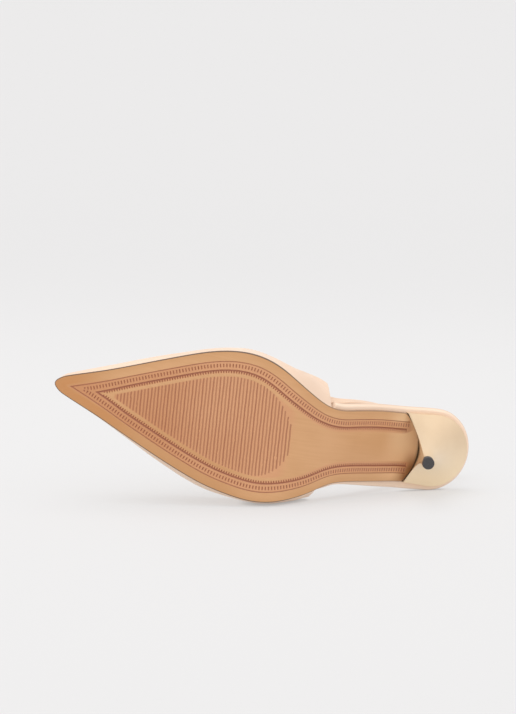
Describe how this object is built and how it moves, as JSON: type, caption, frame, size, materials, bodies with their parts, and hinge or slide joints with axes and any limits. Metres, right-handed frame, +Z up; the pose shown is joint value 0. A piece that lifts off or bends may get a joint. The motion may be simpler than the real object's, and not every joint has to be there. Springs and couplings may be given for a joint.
{
  "type": "slingback shoe",
  "caption": "Pointed-toe slingback pump lying on its outer side, with a leather sole, a hollow vamp, a slim flared heel and a strap round the back of the heel.",
  "frame": {"origin": "centre of the bounding box's bottom, on the floor that the shoe lies on", "axes": "+Z up from the floor, -X to the toe end, -Y out of the sole's underside; the shoe lies on its outer side, so its inner side faces up"},
  "size_m": [0.262, 0.1296, 0.0968],
  "materials": {
    "sole_leather": "smooth tan sole leather with pressed lines and ribs",
    "lining_leather": "soft cream leather",
    "upper_leather": "smooth cream leather with a low sheen",
    "heel_lacquer": "pale gold metallic lacquer",
    "lift_rubber": "matt black"
  },
  "bodies": {
    "root": {"outsole": "sole_leather", "insole": "lining_leather", "upper": "upper_leather", "sling_strap": "upper_leather", "heel": "heel_lacquer", "top_lift": "lift_rubber"}
  },
  "joints": []
}
